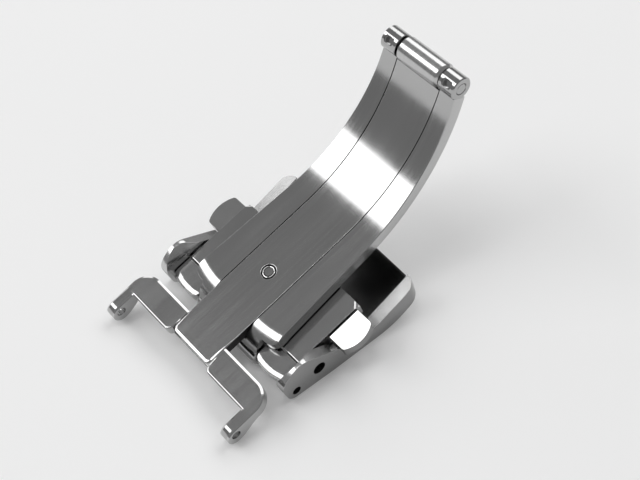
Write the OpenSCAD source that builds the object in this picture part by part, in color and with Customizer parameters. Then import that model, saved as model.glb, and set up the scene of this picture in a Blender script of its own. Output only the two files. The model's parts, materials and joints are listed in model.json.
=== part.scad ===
// Folding clasp for an 18 mm watch strap, closed, lying with its wrist side up.
// Every piece is drawn in the blade frame: X across the strap, Y along it towards
// the barrel hinge, Z up out of the flat of the blades, zero on top of the stud.
// place() then tilts the clasp until its cover lies flat on the table.

/* [Centre blade] */
// Width of the centre blade
tongue_w = 5.8; // [5.2:0.1:6.4]
// Thickness of the centre blade
tongue_t = 1.2; // [1:0.05:1.3]
// Length of the centre blade from the stud to its free end
tongue_reach = 10.5; // [9.8:0.1:12]
// Radius of the two corners at the free end
tongue_corner_r = 0.7; // [0.3:0.1:1.2]
// Flat run from the stud to where both blades start to curve
flat_run = 7.64; // [6:0.1:9]
// Radius of the curve, on the wrist side of the blades
curve_r = 18.34; // [15:0.5:30]
// Angle that the blades turn through up to the barrel
curve_angle = 54.4; // [40:0.2:60]

/* [Forked blade] */
// Width across both rails at their front
rails_front_w = 12.5; // [11.6:0.1:13.5]
// Width across both rails at the barrel
rails_back_w = 9.8; // [9.4:0.1:11]
// Thickness of the rails
rail_t = 1.45; // [1.2:0.05:1.5]
// Gap between the centre blade and each rail
blade_gap = 0.1; // [0.05:0.01:0.2]
// Distance from the stud to where the rails' tops roll down
rail_reach = 3.7; // [3.4:0.1:3.8]
// Radius of the roll at the rails' front
roll_r = 2.9; // [2.7:0.05:3]
// Distance from the stud to the rails' ends beside the web
rail_front = 5.08; // [4.8:0.02:5.2]
// Radius of the rails' front corners, seen from above
rail_corner_r = 1.15; // [0.5:0.05:1.5]
// Thickness of the web that rolls down to the front knuckle
web_t = 1.45; // [1.2:0.05:1.5]
// Side clearance of the front knuckle between the lugs
knuckle_fit = 0.15; // [0.05:0.01:0.25]
// Radius of the front knuckle
front_knuckle_r = 1.1; // [1:0.05:1.15]

/* [Barrel hinge] */
// Radius of the centre barrel
barrel_r = 1.3; // [1.1:0.05:1.5]
// Width of the centre barrel
barrel_w = 5.6; // [5:0.1:5.7]
// Chamfer on the ends of the centre barrel
barrel_chamfer = 0.22; // [0.1:0.02:0.4]
// Radius of the two outer knuckles
knuckle_r = 1.22; // [1:0.02:1.3]
// Width across the outer knuckles
knuckles_w = 9.9; // [9.4:0.1:11]
// Distance of the barrel's axis past the end of the curve
barrel_ahead = 1.15; // [0.9:0.05:1.3]
// Depth of the barrel's axis under the blades' upper face
barrel_drop = 0.5; // [0.3:0.05:0.6]
// Radius of the barrel's hinge pin
barrel_pin_r = 0.6; // [0.5:0.05:0.7]
// Radius of the set pins that lock the hinge pin
set_pin_r = 0.3; // [0.2:0.05:0.4]
// Radius of the dimple over each set pin
dimple_r = 0.46; // [0.35:0.02:0.55]
// Depth of the dimple
dimple_depth = 0.28; // [0.15:0.01:0.35]
// Direction of the set pins, turned from +Y towards +Z
set_pin_angle = 128; // [100:1:150]

/* [Catch stud] */
// Radius of the stud's riveted shank in the centre blade
stud_shank_r = 0.75; // [0.6:0.05:0.9]
// Width of the ring groove around the riveted end
stud_ring = 0.11; // [0.05:0.01:0.2]
// Depth of the ring groove
stud_ring_depth = 0.14; // [0.05:0.01:0.3]
// Radius of the stud's collar under the centre blade
stud_collar_r = 1.1; // [0.9:0.05:1.2]
// Radius of the stud's neck, which the hooks close on
stud_neck_r = 0.85; // [0.7:0.05:0.9]
// Radius of the stud's head
stud_head_r = 1.25; // [1.1:0.05:1.35]
// Height of the stud's head
stud_head_h = 0.32; // [0.25:0.01:0.35]

/* [Strap yoke] */
// Width over the two arms
yoke_w = 20; // [19:0.1:22]
// Thickness of each arm
arm_t = 1.22; // [1:0.05:1.5]
// Length of the cross plate along the strap
plate_l = 2.86; // [2.4:0.1:3.4]
// Distance of the cross plate's front edge past the centre blade's end
plate_lead = 0.5; // [0.1:0.1:1]
// Thickness of the cross plate
plate_t = 1.2; // [1:0.05:1.4]
// Reach of the strap bar's axis in front of the cross plate
arm_reach = 1.95; // [1.6:0.05:2.6]
// Radius of the arms' rounded tips
arm_tip_r = 1.02; // [0.9:0.02:1.15]
// Depth of the centre of the tips under the blades' upper face
arm_tip_drop = 0.95; // [0.8:0.05:1.1]
// Depth of the strap bar's holes under the blades' upper face
bar_hole_drop = 0.78; // [0.7:0.02:1]
// Radius of the strap bar's holes
bar_hole_r = 0.485; // [0.4:0.005:0.6]
// Radius of the yoke's two outer corners
yoke_corner_r = 2; // [1:0.1:2.6]
// Thickness of the saddle under the centre blade
saddle_t = 0.6; // [0.4:0.05:0.7]
// Radius of the yoke's rivets
yoke_rivet_r = 0.42; // [0.3:0.02:0.5]

/* [Cover] */
// Width between the cover's walls
cover_inner_w = 17.54; // [17.4:0.02:19]
// Thickness of the walls
wall_t = 1.1; // [0.9:0.05:1.5]
// Thickness of the floor
floor_t = 0.9; // [0.7:0.05:1]
// Depth of the cover's underside at the stud, under the blades' upper face
cover_depth = 5.9; // [5.7:0.05:7]
// Slope of the cover's underside, which is also the tilt at rest
belly_angle = 15.1; // [13:0.1:16.4]
// Distance from the stud to where the underside starts to rise
belly_end = 3.5; // [3:0.1:4.5]
// Radius of the rising end of the underside
belly_r = 9; // [8:0.5:14]
// Distance from the stud to the cover's far edge
cover_reach = 9.8; // [9:0.1:12]
// Radius of the cover's far corners, seen from above
corner_r = 2.2; // [1:0.1:2.6]
// Depth of the low walls' top under the blades' upper face
low_wall_drop = 4.3; // [4:0.05:4.6]
// Radius of the hump of each wall
hump_r = 1.8; // [1.5:0.05:2]
// Depth of the hump's centre under the blades' upper face
hump_drop = 1.62; // [1.5:0.02:1.9]
// Radius of the nose around the front hinge
nose_r = 1.03; // [0.95:0.01:1.1]
// Radius of the holes for the front hinge bar
bar_tip_hole_r = 0.475; // [0.4:0.005:0.6]

/* [Front hinge] */
// Distance of the front hinge's axis in front of the stud
hinge_reach = 6; // [5.8:0.05:6.3]
// Depth of the front hinge's axis under the blades' upper face
hinge_drop = 3.05; // [2.9:0.05:3.1]
// Radius of the hinge bar's tube
bar_r = 0.72; // [0.6:0.01:0.75]
// Wall of the hinge bar's tube
bar_wall = 0.24; // [0.15:0.01:0.3]
// Radius of the hinge bar's sprung tips
bar_tip_r = 0.42; // [0.35:0.01:0.45]
// Depth of the tips under the cover's outer face
bar_tip_recess = 0.62; // [0.3:0.02:0.8]
// Width of each lug of the hinge block
lug_w = 3.9; // [3.5:0.1:4]
// Depth of the lugs' top under the blades' upper face
lug_drop = 1.8; // [1.7:0.05:1.9]
// Radius of the lugs' front edges
lug_edge_r = 0.55; // [0.3:0.05:0.8]
// Height of the thin plate that joins the two lugs on the cover's floor
block_plate_t = 0.25; // [0.2:0.05:0.35]

/* [Latch housing] */
// Gap between the housing's ends and the cover's walls
housing_fit = 0.2; // [0.1:0.01:0.3]
// Distance from the stud to the housing's front face
housing_front = 3.96; // [3.9:0.01:4]
// Distance from the stud to the housing's rear face
housing_rear = 3.86; // [3.8:0.02:4.1]
// Depth of the housing's top under the blades' upper face
housing_drop = 1.63; // [1.6:0.01:1.7]
// Height of the housing over its slides
housing_h = 1.63; // [1.6:0.01:1.7]
// Thickness of the housing's cap
cap_t = 0.35; // [0.3:0.01:0.4]
// Radius of the bore for the strap's bar, through the walls and the housing
strap_bar_r = 0.7; // [0.6:0.01:0.75]
// Distance of that bore in front of the stud
strap_bar_reach = 3; // [2.95:0.01:3.1]
// Depth of that bore under the blades' upper face
strap_bar_drop = 2.93; // [2.85:0.01:2.95]
// Width of the space for the strap's end between the housing's cheeks
strap_end_w = 11.6; // [11:0.1:12]
// Radius of the screws that hold the housing and the hinge block to the cover
screw_r = 0.5; // [0.4:0.05:0.6]
// Radius of the cap's rivets
cap_rivet_r = 0.28; // [0.2:0.02:0.32]

/* [Buttons] */
// Width of a button along the strap
button_w = 3.7; // [3.4:0.1:3.8]
// Thickness of a button
button_t = 1.25; // [1.15:0.05:1.4]
// Distance of the buttons' middle behind the stud
button_y = 1.57; // [1.5:0.01:1.6]
// How far a button stands out from the cover's wall
button_out = 1.31; // [1.2:0.01:1.8]
// Thickness taken off a slide's stem where it enters its button
stem_lap = 0.2; // [0.15:0.01:0.22]
// Height of the round of a button's outer edge
button_crown = 0.6; // [0.4:0.05:0.8]
// Travel of a button
button_travel = 0.8; // [0.6:0.05:0.9]
// Thickness of each catch slide
slide_t = 0.42; // [0.38:0.01:0.43]
// Radius of the button springs
spring_r = 0.42; // [0.35:0.01:0.45]

/* [Fits] */
// Running clearance of pins and bars in their bores, on the radius
run_fit = 0.03; // [0.01:0.005:0.05]
// Clearance between sliding and swinging faces
play = 0.05; // [0.02:0.01:0.08]

/* [Hidden] */
$fn = 64;
// Cutters reach this far past what they cut
past = 1;

// End of the curve, on the blades' upper face
curve_end_y = flat_run + curve_r * sin(curve_angle);
curve_end_z = curve_r * (1 - cos(curve_angle));
// Axis of the barrel hinge
barrel_y = curve_end_y + barrel_ahead * cos(curve_angle) + barrel_drop * sin(curve_angle);
barrel_z = curve_end_z + barrel_ahead * sin(curve_angle) - barrel_drop * cos(curve_angle);
// Half width of the slot that the centre blade lies in
slot_half = tongue_w / 2 + blade_gap;
// Rail taper, as half width lost over the run to the barrel
rails_run = rail_reach + barrel_y;

// Cover: half widths, wall tops and the low wall's start
wall_in = cover_inner_w / 2;
wall_out = wall_in + wall_t;
slope = tan(belly_angle);
belly_z = -cover_depth - slope * belly_end;
belly_centre_y = belly_end + belly_r * sin(belly_angle);
// The rising end leaves the flat at this slight angle
belly_turn = 4;
belly_centre_z = belly_z + belly_r * (cos(belly_angle) - 1 + cos(belly_turn));
floor_front = 3.1;
hump_y = -hinge_reach + 1.3;
hump_slope = 40;
notch_y = button_y - button_w / 2 - 0.3;
front_rise = 2.2;

// Lugs of the hinge block
lug_out = wall_in - 0.12;
lug_in = lug_out - lug_w;
front_knuckle_w = 2 * (lug_in - knuckle_fit);
lug_front = hinge_reach + 0.9;
lug_back = housing_front + 0.14;
cheek_under = strap_bar_drop + strap_bar_r + 0.12;
block_top = cheek_under + play;
block_back = 0.4;

// Latch housing: channel for the slides, side wall and springs
side_wall = 0.62;
housing_half = wall_in - housing_fit;
cap_under = housing_drop + cap_t;
housing_under = housing_drop + housing_h;
slide_top = cap_under + play;
slide_under = slide_top + 2 * slide_t + play;
channel_floor = slide_under + play;
channel_front = 1.95;
channel_rear = 2.35;
channel_half = housing_half - side_wall;
box_front = channel_front + 0.25;
cheek_in = strap_end_w / 2;
cheek_back = block_back;
stem_front = -0.1;
stem_rear = 2.1;
// Way of the stud's head out of the housing as the centre blade swings up
stud_swing = 0.8;
// The buttons run just under the cap
button_drop = cap_under + play;
stud_hole_r = stud_head_r + 0.15;
spring_y = channel_rear + 0.2 + spring_r;
spring_z = -(button_drop + button_t / 2 - 0.04);
spring_seat = channel_half - 2.6;
cap_rivet_at = [[4.4, -1.2], [3.2, channel_rear + 0.75]];
screw_at = [(cheek_in + housing_half) / 2, -cheek_back - 0.8];
screw_head_r = screw_r + 0.28;
screw_head_h = 0.35;
screw_end = cover_depth + slope * screw_at[1] - 0.35;

// Buttons and the hooks of their slides
button_in = housing_half + 0.13;
button_apex = wall_out + button_out;
button_edge_r = ((button_w / 2) * (button_w / 2) + button_crown * button_crown) / (2 * button_crown);
stem_end = button_in + 1.1;
hook_reach = 1.3;
rivet_x = button_in + 0.55;
rivet_r = 0.22;
hook_in = stud_neck_r + play;
hook_t = 1.1;
arm_w = 0.85;
body_in = hook_in + hook_t + 2 * button_travel + 0.15;
hook_room = hook_in + hook_t + button_travel + 0.1;

// Strap yoke
plate_front = tongue_reach + plate_lead;
plate_back = plate_front - plate_l;
yoke_bar_y = -(plate_front + arm_reach);
saddle_half = tongue_w / 2 + 1.3;
plate_edge_r = 0.45;
yoke_rivet_x = tongue_w / 4;
yoke_rivet_head = 0.22;

// Rest pose: the underside of the cover level on the table, the middle over the origin
front_y = yoke_bar_y * cos(belly_angle) + arm_tip_drop * sin(belly_angle) - arm_tip_r;
back_y = barrel_y * cos(belly_angle) - barrel_z * sin(belly_angle) + barrel_r;
rest_y = -(front_y + back_y) / 2;
rest_z = cover_depth * cos(belly_angle);

module place() {
    translate([0, rest_y, rest_z]) rotate([belly_angle, 0, 0]) children();
}

// A side view, drawn in Y and Z, given a width about the middle plane
module across(w) {
    rotate([90, 0, 90]) linear_extrude(height = w, center = true) children();
}

// The same between two distances from the middle plane, on both sides
module both_sides(from, to) {
    for (side = [-1, 1])
        translate([side * (from + to) / 2, 0, 0]) across(to - from) children();
}

// A round bar or cutter across the clasp, about the middle plane
module bar(y, z, r, len) {
    translate([0, y, z]) rotate([0, 90, 0]) cylinder(r = r, h = len, center = true);
}

// A box between corners
module block(x0, x1, y0, y1, z0, z1) {
    translate([x0, y0, z0]) cube([x1 - x0, y1 - y0, z1 - z0]);
}

// A rectangle in plan with two round corners at its front
module round_front(half, y0, y1, r) {
    translate([-half, y0 + r]) square([2 * half, y1 - y0 - r]);
    translate([-half + r, y0]) square([2 * (half - r), r + 0.01]);
    for (side = [-1, 1]) translate([side * (half - r), y0 + r]) circle(r);
}

// Side view of a blade: a flat strip, then a strip bent on an arc
module blade_side(t, front) {
    translate([-front, -t]) square([front + flat_run, t]);
    translate([flat_run, curve_r]) intersection() {
        difference() {
            circle(curve_r + t, $fn = 180);
            circle(curve_r, $fn = 180);
        }
        polygon([
            [0, 0],
            [0, -2 * curve_r],
            [2 * curve_r * tan(curve_angle / 2), -2 * curve_r],
            2 * curve_r * [sin(curve_angle), -cos(curve_angle)]]);
    }
    // Short straight run into the barrel
    translate([curve_end_y, curve_end_z]) rotate(curve_angle)
        translate([-0.01, -t]) square([barrel_ahead, t]);
}

module tongue_blade() {
    color("silver") place() difference() {
        intersection() {
            across(tongue_w) blade_side(tongue_t, tongue_reach);
            translate([0, 0, -2 * curve_r]) linear_extrude(height = 4 * curve_r)
                round_front(tongue_w / 2, -tongue_reach, 2 * curve_r, tongue_corner_r);
        }
        bar(barrel_y, barrel_z, barrel_r + 0.01, tongue_w + past);
        translate([0, 0, -tongue_t - past]) cylinder(r = stud_shank_r + 0.005, h = tongue_t + 2 * past);
        translate([0, 0, -stud_ring_depth]) cylinder(r = stud_shank_r + stud_ring, h = past);
        for (side = [-1, 1])
            translate([side * yoke_rivet_x, -plate_front + plate_l / 2, -tongue_t - past])
                cylinder(r = yoke_rivet_r, h = past + tongue_t / 2);
    }
}

module centre_barrel() {
    half = barrel_w / 2;
    inner = barrel_pin_r + run_fit;
    color("gainsboro") place() translate([0, barrel_y, barrel_z]) rotate([0, 90, 0])
        rotate_extrude() polygon([
            [inner, -half], [barrel_r - barrel_chamfer, -half], [barrel_r, barrel_chamfer - half],
            [barrel_r, half - barrel_chamfer], [barrel_r - barrel_chamfer, half], [inner, half]]);
}

module catch_stud() {
    top = tongue_t;
    collar_end = housing_drop - 0.08;
    head_top = slide_under + play;
    head_end = head_top + stud_head_h;
    color("silver") place() rotate_extrude() polygon([
        [0, -0.02], [stud_shank_r, -0.02], [stud_shank_r, -top], [stud_collar_r, -top],
        [stud_collar_r, -collar_end], [stud_neck_r, -collar_end - 0.1], [stud_neck_r, -head_top],
        [stud_head_r, -head_top], [stud_head_r, -head_top - 0.12], [stud_neck_r, -head_end],
        [0, -head_end]]);
}

// Side view of an arm of the yoke, from the cross plate to its round tip
module arm_side() {
    tip_z = -arm_tip_drop;
    translate([yoke_bar_y, tip_z]) circle(arm_tip_r);
    polygon([
        [yoke_bar_y, tip_z + arm_tip_r], [-plate_front + 0.3, 0], [-plate_back, 0],
        [-plate_back, -plate_t], [-plate_front + 0.6, -plate_t],
        [yoke_bar_y + 0.45, tip_z - arm_tip_r + 0.1], [yoke_bar_y, tip_z - arm_tip_r]]);
}

module strap_yoke() {
    half = yoke_w / 2;
    color("silver") place() difference() {
        union() {
            intersection() {
                union() {
                    both_sides(half - arm_t, half) arm_side();
                    both_sides(slot_half - blade_gap + 0.03, half)
                        translate([-plate_front, -plate_t]) square([plate_l, plate_t]);
                }
                // Plan of the yoke, round at its two rear corners
                linear_extrude(height = 4 * arm_tip_r, center = true) union() {
                    translate([-half, 2 * yoke_bar_y])
                        square([yoke_w, -2 * yoke_bar_y - plate_back - yoke_corner_r]);
                    translate([-half + yoke_corner_r, -plate_front])
                        square([yoke_w - 2 * yoke_corner_r, plate_l]);
                    for (side = [-1, 1])
                        translate([side * (half - yoke_corner_r), -plate_back - yoke_corner_r])
                            circle(yoke_corner_r);
                }
            }
            block(-saddle_half, saddle_half, -plate_front + 0.4, -plate_back - 0.3,
                -tongue_t - play - saddle_t, -tongue_t - play);
            both_sides(slot_half + 0.1, saddle_half)
                translate([-plate_front + 0.4, -tongue_t - play - 0.01])
                    square([plate_l - 0.7, play + 0.2]);
        }
        bar(yoke_bar_y, -bar_hole_drop, bar_hole_r, yoke_w + past);
        for (side = [-1, 1])
            translate([side * yoke_rivet_x, -plate_front + plate_l / 2, -tongue_t - play - saddle_t - past])
                cylinder(r = yoke_rivet_r, h = saddle_t + 2 * past);
        // Round inner front corners beside the centre blade
        for (side = [-1, 1])
            translate([side * (slot_half - blade_gap + 0.03), -plate_front, -past * 2]) difference() {
                translate([-plate_edge_r, -plate_edge_r, 0]) cube([2 * plate_edge_r, 2 * plate_edge_r, 3 * past]);
                translate([side * plate_edge_r, plate_edge_r, -past]) cylinder(r = plate_edge_r, h = 5 * past);
                translate([-2 * plate_edge_r, plate_edge_r, -past]) cube([4 * plate_edge_r, past, 5 * past]);
                translate([side > 0 ? plate_edge_r : -past - plate_edge_r, -past, -past]) cube([past, 2 * past, 5 * past]);
            }
    }
}

module yoke_rivets() {
    under = tongue_t + play + saddle_t;
    color("gray") place() for (side = [-1, 1])
        translate([side * yoke_rivet_x, -plate_front + plate_l / 2, -under]) {
            cylinder(r = yoke_rivet_r - 0.005, h = saddle_t + play + tongue_t / 2 - 0.05);
            translate([0, 0, -yoke_rivet_head]) cylinder(r = yoke_rivet_r + 0.25, h = yoke_rivet_head);
        }
}

// Side view of the rails' rolled end: beside the web, or the web with its knuckle
module web_side(knuckle) {
    translate([-rail_reach, -roll_r]) intersection() {
        difference() {
            circle(roll_r, $fn = 120);
            if (knuckle) circle(roll_r - web_t);
        }
        translate([-2 * roll_r, knuckle ? 0 : roll_r - rail_t]) square([2 * roll_r, 2 * roll_r]);
    }
    if (knuckle) translate([-hinge_reach, -hinge_drop]) circle(front_knuckle_r);
}

module rail_blade() {
    taper = (rails_front_w - rails_back_w) / 2;
    far = 2 * curve_r;
    front_half = rails_front_w / 2;
    color("silver") place() difference() {
        union() {
            // Rails, tapered towards the barrel
            intersection() {
                across(rails_front_w + past) union() {
                    blade_side(rail_t, rail_reach);
                    web_side(false);
                }
                translate([0, 0, -far]) linear_extrude(height = 2 * far) union() {
                    difference() {
                        polygon([
                            [-front_half, -rail_reach], [front_half, -rail_reach],
                            [front_half - taper, barrel_y], [front_half - taper, far],
                            [taper - front_half, far], [taper - front_half, barrel_y]]);
                    }
                    round_front(front_half, -rail_front, -rail_reach + 0.01, rail_corner_r);
                }
            }
            across(front_knuckle_w) web_side(true);
            bar(barrel_y, barrel_z, knuckle_r, knuckles_w);
        }
        // Slot for the centre blade, open above the front knuckle
        block(-slot_half, slot_half, -2 * rail_reach, far, -tongue_t - play, far);
        block(-slot_half, slot_half, -rail_reach - roll_r + web_t - 0.03, far, -far, 0);
        bar(-hinge_reach, -hinge_drop, bar_r + run_fit, front_knuckle_w + past);
        bar(barrel_y, barrel_z, barrel_pin_r + 0.005, knuckles_w + past);
        set_pin_ways(dimple_r, knuckle_r - dimple_depth, knuckle_r + past);
        set_pin_ways(set_pin_r + 0.005, barrel_pin_r - 0.1, knuckle_r + past);
    }
}

// Cylinders along both set pins, from one radius of the barrel to another
module set_pin_ways(r, from, to) {
    x = (slot_half + knuckles_w / 2) / 2;
    for (side = [-1, 1])
        translate([side * x, barrel_y, barrel_z]) rotate([set_pin_angle - 90, 0, 0])
            translate([0, 0, from]) cylinder(r = r, h = to - from);
}

module knuckle_set_pins() {
    color("gray") place() set_pin_ways(set_pin_r, barrel_pin_r + 0.01, knuckle_r - dimple_depth - 0.12);
}

module barrel_pin() {
    color("gray") place() bar(barrel_y, barrel_z, barrel_pin_r, knuckles_w - 0.04);
}

// All that lies inside a radius round the rising end's centre, or before that end
module rising_end(r, w) {
    far = 3 * cover_reach;
    bar(belly_centre_y, belly_centre_z, r, w);
    block(-w / 2, w / 2, -far, belly_end, -far, far);
}

// The cover before it is hollowed: nose, hump, falling edge, low run and rising underside
module cover_block(w) {
    a = 90 - hump_slope;
    hump_end = [hump_y + 0.99 * hump_r * cos(a), -hump_drop + 0.99 * hump_r * sin(a)];
    nose_y = -hinge_reach + 0.05;
    nose_z = -hinge_drop + 0.18;
    end_y = cover_reach + past;
    intersection() {
        union() {
            bar(nose_y, nose_z, nose_r, w);
            bar(hump_y, -hump_drop, hump_r, w);
            across(w) polygon([
                [nose_y - nose_r * 0.9, nose_z], [hump_y - hump_r * 0.97, -hump_drop],
                [hump_y, -hump_drop], hump_end,
                [notch_y, hump_end[1] - (notch_y - hump_end[0]) * tan(hump_slope)],
                [notch_y, -low_wall_drop], [end_y, -low_wall_drop],
                [end_y, -cover_depth - slope * end_y], [-front_rise, -cover_depth + slope * front_rise],
                [nose_y - nose_r * 0.3, nose_z - nose_r * 0.94]]);
        }
        rising_end(belly_r, w + past);
    }
}

// Room above the floor, open at the front
module cover_pocket(w) {
    far = 2 * cover_reach;
    top_z = -cover_depth + floor_t / cos(belly_angle);
    intersection() {
        across(w) polygon([
            [-far, -far], [-floor_front, -far], [-floor_front, top_z + slope * floor_front],
            [far, top_z - slope * far], [far, far], [-far, far]]);
        rising_end(belly_r - floor_t, w + past);
    }
}

// Plan of the cover, with round corners at its far end
module cover_plan() {
    low = -2 * cover_depth;
    corner_x = wall_out - corner_r;
    corner_y = cover_reach - corner_r;
    block(-wall_out, wall_out, -2 * cover_reach, corner_y, low, -low);
    block(-corner_x, corner_x, -2 * cover_reach, cover_reach, low, -low);
    for (side = [-1, 1]) translate([side * corner_x, corner_y, low]) cylinder(r = corner_r, h = -2 * low);
}

module cover_shell() {
    color("lightgray") place() difference() {
        intersection() {
            cover_block(2 * wall_out + past);
            cover_plan();
        }
        cover_pocket(2 * wall_in);
        bar(-hinge_reach, -hinge_drop, bar_tip_hole_r, 2 * wall_out + past);
        bar(-strap_bar_reach, -strap_bar_drop, strap_bar_r, 2 * wall_out + past);
        screw_ways(screw_r, screw_end + 0.05, block_top);
    }
}

// Cylinders along both screws, between two depths
module screw_ways(r, from, to) {
    for (side = [-1, 1])
        translate([side * screw_at[0], screw_at[1], -from]) cylinder(r = r, h = from - to);
}

module housing_screws() {
    color("gray") place() {
        screw_ways(screw_r - 0.01, screw_end, cap_under + screw_head_h / 2);
        screw_ways(screw_head_r, cap_under + screw_head_h, cap_under + 0.02);
    }
}

// Side view of a lug of the hinge block
module lug_side() {
    r = lug_edge_r;
    under = cover_depth - slope * lug_back - 0.35;
    translate([-lug_front + r, -lug_drop - r]) circle(r);
    translate([-hinge_reach + 0.05, -hinge_drop]) circle(lug_front - hinge_reach + 0.05);
    polygon([
        [-lug_front, -lug_drop - r], [-lug_front + r, -lug_drop], [-lug_back, -lug_drop],
        [-lug_back, -under], [-hinge_reach, -hinge_drop - (lug_front - hinge_reach)],
        [-lug_front, -hinge_drop]]);
}

module hinge_block() {
    rise = floor_t / cos(belly_angle) + play / 2;
    under = cover_depth - slope * lug_back - 0.35;
    front = floor_front + play;
    front_top = cover_depth - slope * floor_front - rise;
    back_top = cover_depth - slope * block_back - rise;
    color("silver") place() difference() {
        union() {
            both_sides(lug_in, lug_out) lug_side();
            // Feet that the housing's cheeks stand on
            both_sides(cheek_in, lug_out) polygon([
                [-lug_back - 0.01, -block_top], [-block_back, -block_top], [-block_back, -back_top],
                [-front, -front_top], [-front, -under - 0.25], [-lug_back - 0.01, -under]]);
            across(2 * cheek_in + 0.02) polygon([
                [-front, -front_top], [-front, block_plate_t - front_top],
                [-block_back, block_plate_t - back_top], [-block_back, -back_top]]);
        }
        bar(-hinge_reach, -hinge_drop, bar_r + run_fit, 2 * lug_out + past);
        screw_ways(screw_r + 0.02, cover_depth, block_top - past);
    }
}

module hinge_bar_tube() {
    half = wall_in - 0.06;
    lip = 0.3;
    color("gray") place() difference() {
        bar(-hinge_reach, -hinge_drop, bar_r, 2 * half);
        bar(-hinge_reach, -hinge_drop, bar_r - bar_wall, 2 * (half - lip));
        bar(-hinge_reach, -hinge_drop, bar_tip_r + 0.02, 2 * half + past);
    }
}

module hinge_bar_tips() {
    end = wall_out - bar_tip_recess;
    collar_out = wall_in - 0.06 - 0.3 - 0.02;
    color("dimgray") place() for (side = [-1, 1])
        translate([0, -hinge_reach, -hinge_drop]) rotate([0, side * 90, 0]) {
            translate([0, 0, collar_out - 1]) cylinder(r = bar_r - bar_wall - 0.01, h = 1);
            translate([0, 0, collar_out - 0.01]) cylinder(r = bar_tip_r, h = end - collar_out + 0.01);
        }
}

module hinge_bar_spring() {
    half = wall_in - 0.06 - 0.3 - 0.02 - 1 - 0.02;
    color("dimgray") place() difference() {
        bar(-hinge_reach, -hinge_drop, bar_r - bar_wall - 0.04, 2 * half);
        bar(-hinge_reach, -hinge_drop, bar_r - bar_wall - 0.2, 2 * half + past);
    }
}

// Plan of the space that the slides move in
module channel_plan() {
    translate([-hook_room, -channel_front]) square([2 * hook_room, channel_front + channel_rear]);
    translate([-channel_half, stem_front - play])
        square([2 * channel_half, channel_rear - stem_front + play]);
}

// Way of the stud, longer towards the front for its swing
module stud_way(from, to) {
    for (y = [0, -stud_swing]) translate([0, y, -from]) cylinder(r = stud_hole_r, h = from - to);
    block(-stud_hole_r, stud_hole_r, -stud_swing, 0, -from, -to);
}

module latch_housing() {
    color("silver") place() difference() {
        union() {
            block(-housing_half, housing_half, -box_front, housing_rear, -housing_under, -cap_under);
            for (side = [-1, 1]) translate([side * (cheek_in + housing_half) / 2, 0, 0])
                block((cheek_in - housing_half) / 2, (housing_half - cheek_in) / 2,
                    -housing_front, -cheek_back, -cheek_under, -cap_under);
        }
        translate([0, 0, -channel_floor]) linear_extrude(height = housing_h) channel_plan();
        stud_way(housing_under + past, channel_floor - past / 2);
        // Windows for the stems, and the spring pockets
        block(-housing_half - past, housing_half + past, stem_front - play, stem_rear + play,
            -channel_floor, 0);
        // Bays in the housing's ends that the buttons are pressed into
        for (side = [-1, 1]) on_side(side)
            block(button_in - button_travel - play, housing_half + past, button_y - button_w / 2 - play,
                button_y + button_w / 2 + play, -housing_under - past, 0);
        for (side = [-1, 1])
            translate([side * spring_seat, spring_y, spring_z]) rotate([0, side * 90, 0])
                cylinder(r = spring_r + play, h = housing_half);
        bar(-strap_bar_reach, -strap_bar_drop, strap_bar_r, 2 * housing_half + past);
        cap_rivet_ways(cap_rivet_r, channel_floor);
        screw_ways(screw_r + 0.02, cheek_under + past, 0);
        screw_ways(screw_head_r + 0.02, cap_under + screw_head_h + 0.01, 0);
    }
}

module cap_rivet_ways(r, to) {
    for (side = [-1, 1], at = cap_rivet_at)
        translate([side * at[0], at[1], -to]) cylinder(r = r, h = to - housing_drop + 0.01);
}

module housing_cap() {
    color("silver") place() difference() {
        block(-housing_half, housing_half, -housing_front, housing_rear, -cap_under, -housing_drop);
        stud_way(cap_under + past, 0);
        cap_rivet_ways(cap_rivet_r, cap_under + past);
        for (side = [-1, 1], at = cap_rivet_at)
            translate([side * at[0], at[1], -housing_drop - 0.15]) cylinder(r = cap_rivet_r + 0.14, h = past);
    }
}

module cap_rivets() {
    color("gray") place() for (side = [-1, 1], at = cap_rivet_at) {
        top = housing_drop + 0.01;
        translate([side * at[0], at[1], 0.05 - channel_floor])
            cylinder(r = cap_rivet_r - 0.005, h = channel_floor - 0.05 - top);
        translate([side * at[0], at[1], -housing_drop - 0.14]) cylinder(r = cap_rivet_r + 0.13, h = 0.13);
    }
}

// Everything that moves with a button is drawn on the right and mirrored for the left
module on_side(side) {
    mirror([side < 0 ? 1 : 0, 0, 0]) children();
}

module button(side) {
    half = button_w / 2;
    place() on_side(side) difference() {
        union() {
            translate([0, button_y, -button_drop - button_t]) linear_extrude(height = button_t)
                intersection() {
                    translate([button_in, -half]) square([button_apex - button_in, button_w]);
                    translate([button_apex - button_edge_r, 0]) circle(button_edge_r, $fn = 120);
                }
            // Spigot that centres the spring
            translate([button_in + 0.01, spring_y, spring_z]) rotate([0, -90, 0])
                cylinder(r = spring_r - 0.2, h = 0.9);
        }
        block(button_in - past, stem_end + 0.02, stem_front - play, stem_rear + play,
            -slide_level(side) - slide_t - 0.01, 0.01 - slide_level(side) - stem_lap);
        rivet_ways(rivet_r, button_drop + button_t + past, slide_level(side) + stem_lap - 0.1);
    }
}

module rivet_ways(r, from, to) {
    for (y = [stem_front + 0.5, stem_rear - 0.5])
        translate([rivet_x, y, -from]) cylinder(r = r, h = from - to);
}

// Depth of a slide's top: the left slide runs above the right one
function slide_level(side) = slide_top + (side < 0 ? 0 : slide_t + play);

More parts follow.
